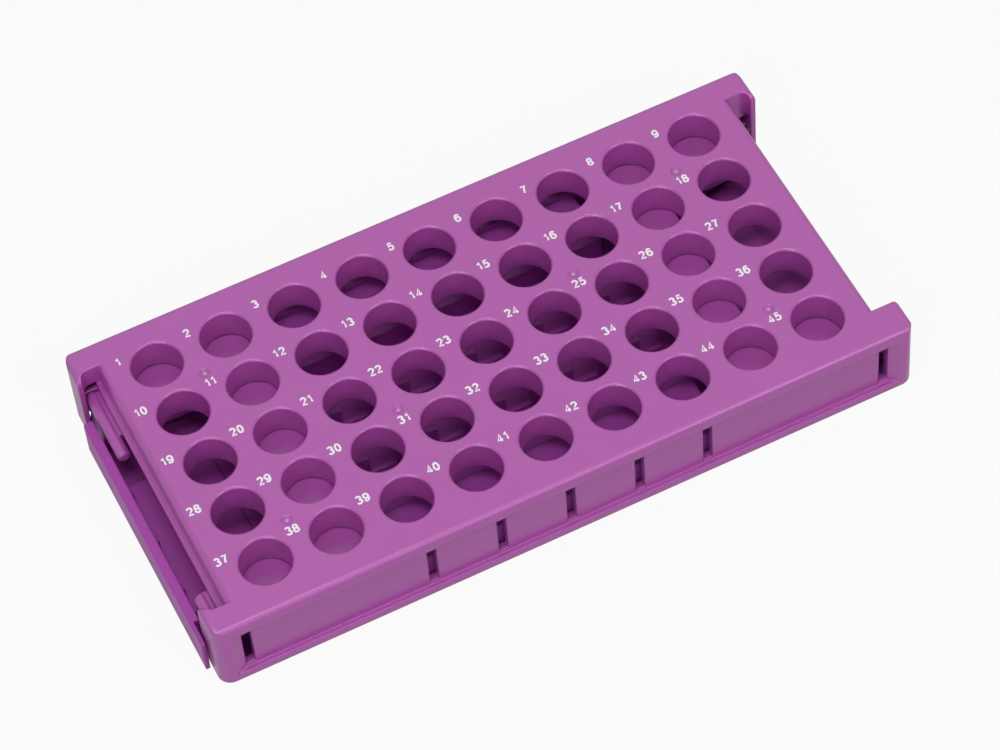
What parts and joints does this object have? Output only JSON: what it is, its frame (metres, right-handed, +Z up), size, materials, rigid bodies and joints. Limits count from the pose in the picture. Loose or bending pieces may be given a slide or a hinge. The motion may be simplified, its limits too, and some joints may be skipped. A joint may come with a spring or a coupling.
{
  "type": "microcentrifuge tube rack",
  "caption": "Low moulded tube rack: a grid of sleeved wells in a top tray that lifts off a shallow base on swing-down legs, closed flat for storage.",
  "frame": {"origin": "on the surface the rack stands on, below the centre of the middle well, number 23", "axes": "+X along the length, +Y from the front long side to the back one, +Z up"},
  "size_m": [0.1634, 0.08, 0.0195],
  "materials": {
    "tray_plastic": "satin moulded polypropylene",
    "base_plastic": "satin moulded polypropylene",
    "leg_plastic": "satin moulded polypropylene",
    "number_ink": "pad-printed white ink"
  },
  "bodies": {
    "base": {"base_tray": "base_plastic"},
    "top": {"top_tray": "tray_plastic"},
    "left_leg": {"left_leg": "leg_plastic"},
    "right_leg": {"right_leg": "leg_plastic"}
  },
  "joints": [
    {"name": "top_lift", "type": "slide", "parent": "base", "child": "top", "axis": [0, 0, 1], "range_m": [0, 0.0345]},
    {"name": "left_leg_swing", "type": "hinge", "parent": "top", "child": "left_leg", "pos_m": [-0.078, 0, 0.0104], "axis": [0, 1, 0], "range_deg": [0, 90]},
    {"name": "right_leg_swing", "type": "hinge", "parent": "top", "child": "right_leg", "pos_m": [0.0762, 0, 0.0104], "axis": [0, -1, 0], "range_deg": [0, 90]}
  ],
  "couplings": [
    {"joint": "left_leg_swing", "follows": "top_lift", "rad_per_m": 45.52},
    {"joint": "right_leg_swing", "follows": "top_lift", "rad_per_m": 45.52}
  ]
}
